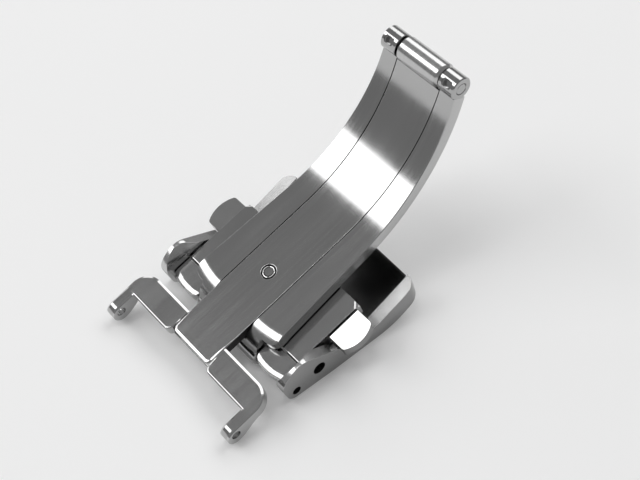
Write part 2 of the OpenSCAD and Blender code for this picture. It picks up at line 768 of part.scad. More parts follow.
// Slide of one button: stem, body, arm behind the stud and hook on its far side
module catch_slide(side) {
    z0 = -slide_level(side) - slide_t;
    z1 = -slide_level(side);
    rear = channel_rear - play;
    place() on_side(side) difference() {
        union() {
            block(channel_half - 1, button_in - play, stem_front, stem_rear, z0, z1);
            block(channel_half, stem_end, stem_front, stem_rear, z0, z1 - stem_lap);
            block(body_in, channel_half - play, stem_front, rear, z0, z1);
            block(-hook_in - hook_t, body_in + 0.01, rear - arm_w, rear, z0, z1);
            block(-hook_in - hook_t, -hook_in, -hook_reach, rear, z0, z1);
        }
        rivet_ways(rivet_r, button_drop + button_t + past, slide_level(side) - past);
    }
}

module slide_rivets(side) {
    place() on_side(side) rivet_ways(rivet_r - 0.005, button_drop + button_t - 0.01,
        slide_level(side) + stem_lap - 0.09);
}

module button_spring(side) {
    len = button_in - play - spring_seat;
    place() on_side(side) translate([spring_seat + 0.02, spring_y, spring_z]) rotate([0, 90, 0]) difference() {
        cylinder(r = spring_r, h = len);
        translate([0, 0, -past]) cylinder(r = spring_r - 0.15, h = len + 2 * past);
    }
}

module button_left() { color("gray") button(-1); }
module button_right() { color("white") button(1); }
module catch_slide_left() { color("slategray") catch_slide(-1); }
module catch_slide_right() { color("lightslategray") catch_slide(1); }
module slide_rivets_left() { color("dimgray") slide_rivets(-1); }
module slide_rivets_right() { color("dimgray") slide_rivets(1); }
module button_spring_left() { color("dimgray") button_spring(-1); }
module button_spring_right() { color("dimgray") button_spring(1); }

cover_shell();
hinge_block();
hinge_bar_tube();
hinge_bar_tips();
hinge_bar_spring();
latch_housing();
housing_cap();
housing_screws();
cap_rivets();
button_spring_left();
button_spring_right();
button_left();
catch_slide_left();
slide_rivets_left();
button_right();
catch_slide_right();
slide_rivets_right();
rail_blade();
barrel_pin();
knuckle_set_pins();
tongue_blade();
centre_barrel();
catch_stud();
strap_yoke();
yoke_rivets();
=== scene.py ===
import json
import math
import bmesh
import bpy
from mathutils import Matrix, Vector


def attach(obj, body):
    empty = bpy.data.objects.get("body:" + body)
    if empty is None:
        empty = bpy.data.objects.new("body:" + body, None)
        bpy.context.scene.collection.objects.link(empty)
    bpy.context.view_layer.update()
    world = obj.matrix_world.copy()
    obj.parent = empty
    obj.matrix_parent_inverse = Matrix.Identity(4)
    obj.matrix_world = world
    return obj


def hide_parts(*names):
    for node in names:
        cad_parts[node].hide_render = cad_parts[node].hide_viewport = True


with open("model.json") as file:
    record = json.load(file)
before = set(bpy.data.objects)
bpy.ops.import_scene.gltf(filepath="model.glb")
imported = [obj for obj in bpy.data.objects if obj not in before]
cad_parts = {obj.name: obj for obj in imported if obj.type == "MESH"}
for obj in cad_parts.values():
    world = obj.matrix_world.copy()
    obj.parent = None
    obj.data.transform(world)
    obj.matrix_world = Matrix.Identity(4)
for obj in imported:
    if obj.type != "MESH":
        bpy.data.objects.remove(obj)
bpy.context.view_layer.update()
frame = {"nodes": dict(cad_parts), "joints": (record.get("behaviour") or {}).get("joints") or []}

# Everything below is drawn in millimetres in the blades' own frame: x across the strap,
# y towards the barrel, z out of the flat of the blades, zero on top of the stud.
clasp = {
    "tilt": 15.1,                    # degrees that the blades lean when the cover lies flat
    "frontHinge": (-6.0, -3.05),     # y and z of the hinge at the cover's nose
    "barrel": (23.628, 8.308),       # y and z of the barrel's axis
    "strapBar": (-3.0, -2.93),       # y and z of the strap bar's bore through cover and lugs
    "strapBarRadius": 0.7,
    "springLine": (2.97, -2.615),    # y and z of the button springs
    "flatRun": 7.64,                 # the blades curve from here on
    "curveRadius": 18.34,
    "curveAngle": 54.4,
    "railReach": 3.7,                # the rails roll down in front of this
    "rollRadius": 2.9,
    "rollEase": 0.045,               # the roll starts this much later, times the square of the way outwards
}
hingePlace = next(j["pos_m"] for j in frame["joints"] if j["name"] == "rails_hinge")
lean = Matrix.Rotation(math.radians(clasp["tilt"]), 4, "X") @ Matrix.Scale(0.001, 4)
hingeInBlades = Vector((0, *clasp["frontHinge"]))
bladeFrame = Matrix.Translation(Vector(hingePlace) - lean @ hingeInBlades) @ lean
curveEnd = clasp["flatRun"] + clasp["curveRadius"] * math.radians(clasp["curveAngle"])


# Shader maths
class Shade:
    def __init__(self, tree, socket):
        self.tree = tree
        self.socket = socket

    def maths(self, operation, other=None, swap=False):
        node = self.tree.nodes.new("ShaderNodeMath")
        node.operation = operation
        terms = [self] if other is None else ([other, self] if swap else [self, other])
        for slot, term in zip(node.inputs, terms):
            join(self.tree, term, slot)
        return Shade(self.tree, node.outputs[0])

    def __add__(self, other): return self.maths("ADD", other)
    def __radd__(self, other): return self.maths("ADD", other)
    def __sub__(self, other): return self.maths("SUBTRACT", other)
    def __rsub__(self, other): return self.maths("SUBTRACT", other, swap=True)
    def __mul__(self, other): return self.maths("MULTIPLY", other)
    def __rmul__(self, other): return self.maths("MULTIPLY", other)


def join(tree, term, slot):
    if isinstance(term, Shade):
        tree.links.new(term.socket, slot)
    else:
        slot.default_value = term


class Finish:
    def __init__(self, name, world=None):
        # A new material, or the background of a world
        self.material = world or bpy.data.materials.new(name)
        self.material.use_nodes = True
        self.tree = self.material.node_tree
        self.shader = self.tree.nodes["Background" if world else "Principled BSDF"]

    def node(self, kind, settings=None, slots=None, out=0, **values):
        # settings come first, then values or links for sockets, by number in slots and else by name
        made = self.tree.nodes.new(kind)
        for key, value in (settings or {}).items():
            setattr(made, key, value)
        for number, value in (slots or {}).items():
            join(self.tree, value, made.inputs[number])
        for key, value in values.items():
            join(self.tree, value, made.inputs[key.replace("_", " ")])
        return Shade(self.tree, made.outputs[out])

    def set(self, **values):
        for key, value in values.items():
            join(self.tree, value, self.shader.inputs[key.replace("_", " ")])

    def mix(self, low, high, factor):
        # 6 and 7 are the Mix node's two colours, and 2 is the mixed one
        return self.node("ShaderNodeMix", {"data_type": "RGBA"}, {6: low, 7: high}, 2, Factor=factor)

    def bladePlace(self, stretch):
        # Object coordinates turned back into the blades' frame, in millimetres, then stretched
        place = self.node("ShaderNodeTexCoord", out="Object")
        turned = self.node("ShaderNodeMapping", {"vector_type": "POINT"}, Vector=place,
                           Rotation=(-math.radians(clasp["tilt"]), 0, 0), Scale=(1000, 1000, 1000))
        return self.node("ShaderNodeMapping", {"vector_type": "POINT"}, Vector=turned, Scale=stretch)

    def noise(self, stretch, detail, roughness=0.5):
        return self.node("ShaderNodeTexNoise", {"noise_dimensions": "3D"}, Vector=self.bladePlace(stretch),
                         Scale=1.0, Detail=detail, Roughness=roughness)

    def toned(self, tone, spread, factor):
        # From a little under the tone to a little over it
        return self.mix(grey(tone * spread[0]), grey(min(tone * spread[1], 1)), factor)


def grey(value):
    return (value, value, value, 1)


steel = {
    "brushedTone": 0.45,
    "brushedRough": 0.14,
    "brushedSpread": (0.93, 1.07),
    "polishedTone": 0.56,
    "polishedRough": 0.10,
    "polishedSpread": (0.95, 1.04),
    "turnedTone": 0.56,
    "turnedRough": 0.20,
    "turnedSpread": (0.88, 1.1),
    "lineWidth": 0.16,           # mm between brush lines
    "lineDraw": 0.05,            # how fast a brush line changes along its run, per mm
    "streaks": (0.6, 0.12),      # the same across and along the wide, soft streaks
}


def brushedSteel(name, tone=steel["brushedTone"], rough=steel["brushedRough"], along="y"):
    finish = Finish(name)
    fine, draw = 1 / steel["lineWidth"], steel["lineDraw"]
    across, down = steel["streaks"]
    lines = finish.noise((fine, draw, draw) if along == "y" else (draw, fine, fine), 3.0, 0.6)
    wide = finish.noise((across, down, down) if along == "y" else (down, across, across), 2.0)
    finish.set(Base_Color=finish.toned(tone, steel["brushedSpread"], lines * 0.6 + wide * 0.4), Metallic=1.0,
               Roughness=lines * 0.10 + wide * 0.06 + (rough - 0.08))
    finish.set(Normal=finish.node("ShaderNodeBump", Strength=0.12, Distance=0.00003, Height=lines))
    return finish.material


def polishedSteel(name, tone=steel["polishedTone"], rough=steel["polishedRough"]):
    finish = Finish(name)
    smudge = finish.noise((0.7, 0.7, 0.7), 4.0, 0.55)
    grain = finish.noise((9, 3, 9), 2.0)
    finish.set(Base_Color=finish.toned(tone, steel["polishedSpread"], smudge), Metallic=1.0,
               Roughness=smudge * 0.07 + grain * 0.04 + (rough - 0.05))
    finish.set(Normal=finish.node("ShaderNodeBump", Strength=0.06, Distance=0.00001, Height=grain))
    return finish.material


def turnedSteel(name, tone=steel["turnedTone"], rough=steel["turnedRough"]):
    # Lathe marks run round the barrel, so they change along x only
    finish = Finish(name)
    marks = finish.noise((7, 0.15, 0.15), 3.0, 0.65)
    finish.set(Base_Color=finish.toned(tone, steel["turnedSpread"], marks), Metallic=1.0,
               Roughness=marks * 0.12 + (rough - 0.05))
    finish.set(Normal=finish.node("ShaderNodeBump", Strength=0.2, Distance=0.00001, Height=marks))
    return finish.material


finishes = {
    "brushed": brushedSteel("brushedSteel"),
    "polished": polishedSteel("polishedSteel"),
    "turned": turnedSteel("turnedSteel"),
    "shell": polishedSteel("shellSteel", tone=0.60, rough=0.20),
    # The darker steel below is painted shade on the cover's outer wall faces, standing for the shadowed floor they
    # mirror.
    "wall": polishedSteel("wallSteel", tone=0.31, rough=0.24),
    "rolled": brushedSteel("rolledSteel", rough=0.20),
    # The darker steel below is painted shade on the cover's inner floor, which lies in shade under the blades.
    "pocket": polishedSteel("pocketPaintedShade", tone=0.34, rough=0.15),
    # The near-black steel below is painted shade inside holes, slots, grooves and gaps between parts.
    "bore": turnedSteel("borePaintedShade", tone=0.05, rough=0.45),
    "milled": brushedSteel("milledSteel", tone=0.52, rough=0.34, along="x"),
    # The darker steel below is painted shade on the buttons' sides and ends.
    "side": polishedSteel("sidePaintedShade", tone=0.28, rough=0.24),
    "flank": polishedSteel("flankSteel", tone=0.54, rough=0.24),
    "dull": turnedSteel("dullSteel", tone=0.42, rough=0.36),
    "spring": turnedSteel("springSteel", tone=0.46, rough=0.28),
}
print("finishes made")


# Shapes
def arc(cx, cy, radius, start, end, steps=10):
    return [(cx + radius * math.cos(math.radians(start + (end - start) * k / steps)),
             cy + radius * math.sin(math.radians(start + (end - start) * k / steps))) for k in range(steps + 1)]


def prism(outline, low, high):
    bm = bmesh.new()
    rings = [[bm.verts.new((u, v, w)) for u, v in outline] for w in (low, high)]
    bm.faces.new(list(reversed(rings[0])))
    bm.faces.new(rings[1])
    count = len(outline)
    for k in range(count):
        n = (k + 1) % count
        bm.faces.new((rings[0][k], rings[0][n], rings[1][n], rings[1][k]))
    bmesh.ops.recalc_face_normals(bm, faces=bm.faces)
    return bm


def turned(profile, centre, steps=96):
    # profile: (x, radius) points of a closed section, turned about the x axis through centre
    bm = bmesh.new()
    rings = []
    for k in range(steps):
        a = 2 * math.pi * k / steps
        rings.append([bm.verts.new((x, centre[0] + r * math.cos(a), centre[1] + r * math.sin(a)))
                      for x, r in profile])
    count = len(profile)
    for k in range(steps):
        n = (k + 1) % steps
        for i in range(count):
            j = (i + 1) % count
            bm.faces.new((rings[k][i], rings[k][j], rings[n][j], rings[n][i]))
    bmesh.ops.remove_doubles(bm, verts=bm.verts, dist=1e-5)
    bmesh.ops.recalc_face_normals(bm, faces=bm.faces)
    return bm


def rod(x0, x1, centre, radius, rim=0.05, steps=72):
    return turned([(x0, 0), (x0, radius - rim), (x0 + rim, radius), (x1 - rim, radius), (x1, radius - rim), (x1, 0)],
                  centre, steps)


def drill(centre, radius, steps=48, reach=12):
    return rod(-reach, reach, centre, radius, 0.001, steps)


def inBore(face, centre, radius):
    return (face.calc_center_median().yz - Vector(centre)).length < radius + 0.02 and abs(face.normal.x) < 0.1


def mirroredOutline(outline, side):
    # Drawn on the right; for the left it is turned over, and kept anticlockwise
    outline = [(side * x, y) for x, y in outline]
    return outline if side > 0 else outline[::-1]


def acrossStrap(bm):
    # A side view (y, z) that was made into a prism is stood up across the strap
    warped(bm, lambda co: Vector((co.z, co.x, co.y)))
    bmesh.ops.recalc_face_normals(bm, faces=bm.faces)
    return bm


def alongStrap(bm):
    # The same for a front view (x, z)
    warped(bm, lambda co: Vector((co.x, co.z, co.y)))
    bmesh.ops.recalc_face_normals(bm, faces=bm.faces)
    return bm


def inOrder(bm):
    # Bevels and cuts leave faces in an order that changes from run to run, and this makes it a fixed one
    verts = sorted(bm.verts, key=lambda v: tuple(round(c, 4) for c in v.co))
    for number, v in enumerate(verts):
        v.index = number
    places = [v.co.copy() for v in verts]
    faces = {}
    for face in bm.faces:
        ring = [v.index for v in face.verts]
        start = ring.index(min(ring))
        turned = ring[start:] + ring[:start]
        faces.setdefault(frozenset(ring), []).append((turned, len(ring) - start, face.material_index))
    bm.clear()
    made = [bm.verts.new(place) for place in places]
    for group in faces.values():
        group.sort()
    for group in sorted(faces.values()):
        ring, start, mark = group[0]
        # Two faces back to back enclose nothing, and are left out
        if 2 * [other[0] for other in group].count(ring) != len(group):
            bm.faces.new([made[k] for k in ring[start:] + ring[:start]]).material_index = mark
    bm.normal_update()


def sliced(bm, places, axis):
    normal = Vector([1 if axis == k else 0 for k in range(3)])
    for place in places:
        bmesh.ops.bisect_plane(bm, geom=bm.verts[:] + bm.edges[:] + bm.faces[:], plane_co=normal * place,
                               plane_no=normal, dist=1e-5)
    inOrder(bm)


def warped(bm, shape):
    for v in bm.verts:
        v.co = shape(v.co)
    bm.normal_update()


def softened(bm, pick, width, segments=3, mark=1, held=True):
    # Rounds the picked edges; their new faces take the second finish
    bm.normal_update()
    edges = [e for e in bm.edges if e.is_manifold and pick(e)]
    if edges:
        made = bmesh.ops.bevel(bm, geom=edges, offset=width, segments=segments, profile=0.5, affect="EDGES",
                               clamp_overlap=held)
        for face in made["faces"]:
            face.material_index = mark
        inOrder(bm)


def chamfered(bm, pick, width, angle, mark=1, top=0.0, height=1.0):
    # A flat bevel on edges of a flat top, wider than it is deep; height is what one unit of z will be
    bm.normal_update()
    edges = [e for e in bm.edges if e.is_manifold and pick(e)]
    made = bmesh.ops.bevel(bm, geom=edges, offset=width, segments=1, affect="EDGES", clamp_overlap=False)
    for v in {v for face in made["faces"] for v in face.verts}:
        if v.co.z < top - 0.3 * width:
            v.co.z = top - width * math.tan(math.radians(angle)) / height
    for face in made["faces"]:
        face.material_index = mark
    inOrder(bm)


def sharp(edge, angle=30):
    return edge.is_manifold and edge.calc_face_angle(0) > math.radians(angle) and edge.is_convex


def middle(edge):
    return (edge.verts[0].co + edge.verts[1].co) / 2


def carved(bm, cutters):
    # Cuts other solids away with the exact solver
    base = bpy.data.objects.new("carveBase", bpy.data.meshes.new("carveBase"))
    bm.to_mesh(base.data)
    bpy.context.scene.collection.objects.link(base)
    others = []
    for cutter in cutters:
        other = bpy.data.objects.new("carveTool", bpy.data.meshes.new("carveTool"))
        cutter.to_mesh(other.data)
        cutter.free()
        bpy.context.scene.collection.objects.link(other)
        others.append(other)
        step = base.modifiers.new("cut", "BOOLEAN")
        step.operation, step.solver, step.object = "DIFFERENCE", "EXACT", other
    bpy.context.view_layer.update()
    result = bpy.data.meshes.new_from_object(base.evaluated_get(bpy.context.evaluated_depsgraph_get()))
    bm.clear()
    bm.from_mesh(result)
    for thing in [base] + others:
        bpy.data.objects.remove(thing)
    inOrder(bm)
    bmesh.ops.dissolve_limit(bm, angle_limit=math.radians(0.4), verts=bm.verts, edges=bm.edges)
    inOrder(bm)
    return bm


def piece(name, meshes, body, node, looks, smooth=32, weighted=True):
    # One object of the scene in place of a CAD node, from meshes in the blades' frame
    mesh = bpy.data.meshes.new(name)
    whole = bmesh.new()
    for bm in meshes:
        part = bpy.data.meshes.new("part")
        bm.to_mesh(part)
        whole.from_mesh(part)
        bpy.data.meshes.remove(part)
        bm.free()
    bmesh.ops.dissolve_degenerate(whole, edges=whole.edges, dist=0.002)
    whole.transform(bladeFrame)
    whole.to_mesh(mesh)
    whole.free()
    for look in looks:
        mesh.materials.append(finishes[look])
    mesh.polygons.foreach_set("use_smooth", [True] * len(mesh.polygons))
    mesh.set_sharp_from_angle(angle=math.radians(smooth))
    made = bpy.data.objects.new(name, mesh)
    bpy.context.scene.collection.objects.link(made)
    if weighted:
        step = made.modifiers.new("evenNormals", "WEIGHTED_NORMAL")
        step.keep_sharp = True
    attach(made, body)
    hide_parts(node)


def bent(co, rolled=False):
    # (x, distance along the blade, height over its upper face) to the blades' frame
    x, s, n = co
    radius, start = clasp["curveRadius"], clasp["flatRun"]
    reach, roll = clasp["railReach"], clasp["rollRadius"]
    if rolled:
        # The roll starts a little later towards the rails' outer edges
        reach -= clasp["rollEase"] * max(abs(x) - rails["inner"], 0) ** 2
    if s > start:
        a = min((s - start) / radius, math.radians(clasp["curveAngle"]))
        extra = s - start - a * radius
        y = start + (radius - n) * math.sin(a) + extra * math.cos(a)
        z = radius - (radius - n) * math.cos(a) + extra * math.sin(a)
        return Vector((x, y, z))
    if not rolled or s > -reach:
        return Vector((x, s, n))
    a = min((-reach - s) / roll, math.pi / 2)
    extra = -reach - s - a * roll
    return Vector((x, -reach - (roll + n) * math.sin(a), -roll + (roll + n) * math.cos(a) - extra))


def alongAtLength(s):
    a = min(max(s - clasp["flatRun"], 0) / clasp["curveRadius"], math.radians(clasp["curveAngle"]))
    return min(s, clasp["flatRun"]) + clasp["curveRadius"] * math.sin(a)


# Where the blades are sliced before they are bent
arcCuts = [clasp["flatRun"] - 0.4 + 0.35 * k for k in range(54)]

# Centre blade
tongue = {"half": 2.9, "thick": 1.2, "front": 10.5, "cornerRadius": 0.7, "endBevel": 0.34, "endBevelAngle": 23,
          "sideBevel": 0.03, "underBevel": 0.1, "studHole": 0.80, "studHoleBevel": 0.05, "ringDepth": 0.3,
          "endGap": 0.12}


def makeTongue():
    t = tongue
    end = curveEnd - t["endGap"]
    cornerY = -t["front"] + t["cornerRadius"]
    outline = arc(-t["half"] + t["cornerRadius"], cornerY, t["cornerRadius"], 180, 270, 8)
    outline += arc(t["half"] - t["cornerRadius"], cornerY, t["cornerRadius"], 270, 360, 8)
    outline += [(t["half"], end), (-t["half"], end)]
    bm = prism(outline, -t["thick"], 0)
    carved(bm, [prism(arc(0, 0, t["studHole"], 0, 360, 64)[:-1], -t["ringDepth"], 1)])
    onTop = lambda e: sharp(e) and abs(middle(e).z) < 0.01
    atStud = lambda e: middle(e).xy.length < t["studHole"] + 0.4
    atEnd = lambda e: middle(e).y < cornerY + 0.01
    chamfered(bm, lambda e: onTop(e) and atEnd(e), t["endBevel"], t["endBevelAngle"])
    softened(bm, lambda e: onTop(e) and atStud(e), t["studHoleBevel"], 2)
    softened(bm, lambda e: onTop(e) and not atStud(e) and not atEnd(e), t["sideBevel"], 2)
    softened(bm, lambda e: sharp(e) and middle(e).z < -t["thick"] + 0.01, t["underBevel"], 2)
    bm.normal_update()
    # Faces in the slot beside the rails and in the stud's hole get the near-black finish: painted shade.
    for face in bm.faces:
        spot = face.calc_center_median()
        inSlot = abs(face.normal.x) > 0.8 and spot.y > -5
        inHole = spot.xy.length < t["studHole"] + 0.01 and -t["ringDepth"] - 0.01 < spot.z < -0.04
        if inSlot or inHole:
            face.material_index = 2
    sliced(bm, arcCuts, 1)
    warped(bm, bent)
    piece("tongueBlade", [bm], "tongue", "tongue_blade", ["brushed", "polished", "bore"])


# Stud: radius and height of its flush riveted end, collar, neck and catching head
stud = {"profile": [(0, -0.03), (0.43, -0.03), (0.46, -0.08), (0.49, -0.08), (0.53, -0.03), (0.58, -0.015),
                    (0.63, -0.03), (0.68, -0.10), (0.70, -0.30), (1.1, -1.2), (1.1, -1.5), (0.85, -1.62),
                    (0.85, -2.95), (1.21, -2.97), (1.25, -3.01), (1.25, -3.08), (0.87, -3.27), (0.8, -3.29),
                    (0, -3.29)],
        "groove": (0.44, 0.50), "bead": 0.5, "rim": 0.655, "endDepth": 0.32}


def makeStud():
    bm = turned([(-z, r) for r, z in stud["profile"]], (0, 0))
    warped(bm, lambda co: Vector((co.y, co.z, -co.x)))
    bmesh.ops.recalc_face_normals(bm, faces=bm.faces)
    for face in bm.faces:
        spot = face.calc_center_median()
        out = spot.xy.length
        # The groove and the gap round the rim get the near-black finish: painted shade.
        if spot.z > -stud["endDepth"]:
            paintedShade = stud["groove"][0] < out < stud["groove"][1] or out > stud["rim"]
            face.material_index = 2 if paintedShade else int(out > stud["bead"])
    piece("catchStud", [bm], "tongue", "catch_stud", ["brushed", "polished", "bore"], smooth=25)


# Forked blade: two rails, their roll and web, the knuckles
rails = {"frontHalf": 6.25, "backHalf": 4.9, "inner": 3.0, "thick": 1.45, "webHalf": 4.6,
         "outerEnd": 5.14, "outerCorner": 1.15, "notchRadius": 0.35, "bevel": 0.07, "endBevel": 0.3,
         "underBevel": 0.12, "rolledFrom": 0.66, "knuckleRadius": 1.22, "knuckleEnd": 4.95, "pinRadius": 0.6,
         "frontKnuckle": 1.1, "frontBore": 0.76, "rim": 0.08}
# Set pin of each knuckle: a dimple on a small flat, turned from the top towards the strap yoke
setPin = {"lean": 38, "flatRadius": 0.62, "flatHeight": 1.15, "dimpleRadius": 0.42, "dimpleFloor": 0.86,
          "radius": 0.29, "from": 0.62, "to": 0.83, "bevel": 0.05}


def railHalf(s):
    run = clasp["barrel"][0] + clasp["railReach"]
    return rails["frontHalf"] - (rails["frontHalf"] - rails["backHalf"]) * (alongAtLength(s) + clasp["railReach"]) / run


def makeRail(side):
    r = rails
    end = curveEnd + 0.1
    front = railHalf(-r["outerEnd"])
    webEnd = -clasp["railReach"] - clasp["rollRadius"] * math.pi / 2 - 0.2
    notchY = -r["outerEnd"] - r["notchRadius"]
    cornerY = -r["outerEnd"] + r["outerCorner"]
    outline = [(r["inner"], webEnd), (r["webHalf"], webEnd), (r["webHalf"], notchY)]
    outline += arc(r["webHalf"] + r["notchRadius"], notchY, r["notchRadius"], 180, 90, 8)[1:]
    outline += arc(front - r["outerCorner"], cornerY, r["outerCorner"], 270, 360, 8)
    steps = [-3, 0, 3, 6] + [clasp["flatRun"] + 1.2 * k for k in range(15)] + [end]
    outline += [(railHalf(s), s) for s in steps if s <= end]
    outline += [(r["inner"], end)]
    bm = prism(mirroredOutline(outline, side), -r["thick"], 0)
    onTop = lambda e: sharp(e) and middle(e).z > -0.01
    beyond = lambda e, x: abs(middle(e).x) > x
    softened(bm, lambda e: onTop(e) and beyond(e, r["webHalf"] + 0.05) and middle(e).y < cornerY + 0.01,
             r["endBevel"], 4)
    softened(bm, lambda e: onTop(e) and beyond(e, r["inner"] + 0.02) and cornerY < middle(e).y < end - 0.01,
             r["bevel"], 1, 3, False)
    softened(bm, lambda e: sharp(e) and middle(e).z < -r["thick"] + 0.01 and beyond(e, r["inner"] + 0.1),
             r["underBevel"], 2)
    bm.normal_update()
    # The inner faces along the slot get the near-black finish: painted shade between the blades.
    for face in bm.faces:
        if side * face.normal.x < -0.8 and abs(face.calc_center_median().x) < r["inner"] + 0.05:
            face.material_index = 2
        elif side * face.normal.x > 0.8 and abs(face.calc_center_median().x) > r["backHalf"] - 0.3:
            face.material_index = 3
    rolledFrom = -clasp["railReach"] - r["rolledFrom"]
    sliced(bm, [rolledFrom], 1)
    for face in bm.faces:
        if face.calc_center_median().y < rolledFrom and face.material_index == 0:
            face.material_index = 4
    sliced(bm, [-clasp["railReach"] + 0.5 - 0.16 * k for k in range(32)], 1)
    sliced(bm, [side * (r["webHalf"] + 0.1 * k) for k in range(-12, 16, 2)], 0)
    sliced(bm, arcCuts, 1)
    warped(bm, rolledOff)
    return bm


def rolledOff(co):
    # A bent sheet over the web, and a flat underside beside it
    sheet = bent(co, True)
    if co.y > -clasp["railReach"]:
        return sheet
    top = bent(Vector((co.x, co.y, 0)), True)
    block = Vector((co.x, top.y, top.z + (rails["thick"] + top.z) * co.z / rails["thick"]))
    return sheet.lerp(block, min(max((abs(co.x) - rails["webHalf"]) / 0.2, 0), 1))


def setPinPlace(side):
    across = side * (rails["inner"] + rails["knuckleEnd"]) / 2
    return Matrix.Translation((across, *clasp["barrel"])) @ Matrix.Rotation(math.radians(setPin["lean"]), 4, "X")


def makeRails():
    r, p = rails, setPin
    half, radius, rim = r["webHalf"], r["frontKnuckle"], r["rim"]
    parts = [makeRail(-1), makeRail(1)]
    parts.append(turned([(-half, r["frontBore"]), (-half, radius - rim), (-half + rim, radius), (half - rim, radius),
                         (half, radius - rim), (half, r["frontBore"])], clasp["frontHinge"]))
    # Web under the centre blade
    centre = (-clasp["railReach"], -clasp["rollRadius"])
    bridge = acrossStrap(prism([(-5.18, -1.32)] + arc(*centre, clasp["rollRadius"], 147, 180, 8)
                               + [(-6.3, -3.2), (-5.5, -3.2), (-5.18, -2.5)], -r["inner"] - 0.1, r["inner"] + 0.1))
    softened(bridge, lambda e: sharp(e) and middle(e).z > -1.5, 0.06, 2)
    parts.append(bridge)
    inner, outer, radius = r["inner"] - 0.02, r["knuckleEnd"], r["knuckleRadius"]
    ring = [(inner, r["pinRadius"] + 0.02), (inner, radius - 0.06), (inner + 0.06, radius), (outer - 0.10, radius),
            (outer, radius - 0.10), (outer, r["pinRadius"] + 0.05), (outer - 0.06, r["pinRadius"] + 0.01)]
    for side in (-1, 1):
        knuckle = turned([(side * x, rad) for x, rad in ring], clasp["barrel"])
        flat = prism(arc(0, 0, p["flatRadius"], 0, 360, 48)[:-1], p["flatHeight"], 3)
        dimple = prism(arc(0, 0, p["dimpleRadius"], 0, 360, 40)[:-1], p["dimpleFloor"], 3)
        for cutter in (flat, dimple):
            cutter.transform(setPinPlace(side))
        carved(knuckle, [flat, dimple])
        softened(knuckle, lambda e: sharp(e, 50), 0.03, 2)
        parts.append(knuckle)
    piece("railBlade", parts, "rails", "rail_blade", ["brushed", "polished", "bore", "flank", "rolled"])


# Barrel at the end of the centre blade, with a small step at each end, and the pin through it
barrel = {"half": 2.8, "radius": 1.3, "bore": 0.63, "pinHalf": 4.93, "pinRadius": 0.585}


def makeBarrel():
    b = barrel
    endShape = [(0, b["bore"]), (0, b["radius"] - 0.24), (0.07, b["radius"] - 0.17), (0.24, b["radius"] - 0.02),
                (0.28, b["radius"])]
    ring = [(-b["half"] + x, rad) for x, rad in endShape] + [(b["half"] - x, rad) for x, rad in endShape[::-1]]
    piece("centreBarrel", [turned(ring, clasp["barrel"], 128)], "tongue", "centre_barrel", ["turned"], smooth=20)


def makePins():
    p = setPin
    piece("barrelPin", [rod(-barrel["pinHalf"], barrel["pinHalf"], clasp["barrel"], barrel["pinRadius"], 0.05)],
          "rails", "barrel_pin", ["brushed"])
    pins = []
    for side in (-1, 1):
        pin = prism(arc(0, 0, p["radius"], 0, 360, 32)[:-1], p["from"], p["to"])
        softened(pin, lambda e: sharp(e, 50), p["bevel"], 2)
        pin.transform(setPinPlace(side))
        pins.append(pin)
    piece("knuckleSetPins", pins, "rails", "knuckle_set_pins", ["polished"])


makeTongue()
makeStud()
makeRails()
makeBarrel()
makePins()
print("blades made")

# Strap yoke
yoke = {"inner": 2.93, "half": 10.0, "armThick": 1.22, "front": 11.0, "back": 8.14, "thick": 1.2,
        "fallFrom": -10.7, "underFrom": -10.2, "tipY": -12.95, "tipZ": -0.95, "tipRadius": 1.02,
        "outerCorner": 2.0, "innerCorner": 0.75, "holeAcross": 9.4, "holeZ": -0.78, "holeRadius": 0.485,
        "sinkDepth": 0.08, "sinkWidth": 0.13, "rearBevel": 0.22, "rearAngle": 26, "frontBevel": 0.18, "frontAngle": 22,
        "saddle": [(-4.2, -1.85), (4.2, -1.85), (4.2, -1.1), (3.1, -1.1), (3.1, -1.25), (-3.1, -1.25), (-3.1, -1.1),
                   (-4.2, -1.1)],
        "saddleRun": (-10.6, -8.44), "saddleBevel": 0.12}
yokeRivets = {"across": 1.45, "y": -9.57, "z": -1.64,
              "head": [(0, 0.1), (0.40, 0.1), (0.40, 0.22), (0.67, 0.22), (0.665, 0.30), (0.58, 0.38), (0.40, 0.43),
                       (0, 0.44)]}


def tipHeight(y):
    return math.sqrt(max(yoke["tipRadius"] ** 2 - (y - yoke["tipY"]) ** 2, 0.0004))


def yokeTop(y):
    k = yoke
    if y > k["fallFrom"]:
        return 0.0
    if y > k["tipY"]:
        return (k["tipZ"] + k["tipRadius"]) * (k["fallFrom"] - y) / (k["fallFrom"] - k["tipY"])
    return k["tipZ"] + tipHeight(y)


def yokeUnder(y):
    k = yoke
    if y > k["underFrom"]:
        return -k["thick"]
    if y > k["tipY"]:
        t = (k["underFrom"] - y) / (k["underFrom"] - k["tipY"])
        t = t * t * (3 - 2 * t)
        return -k["thick"] + (k["tipZ"] - k["tipRadius"] + k["thick"]) * t
    return k["tipZ"] - tipHeight(y)


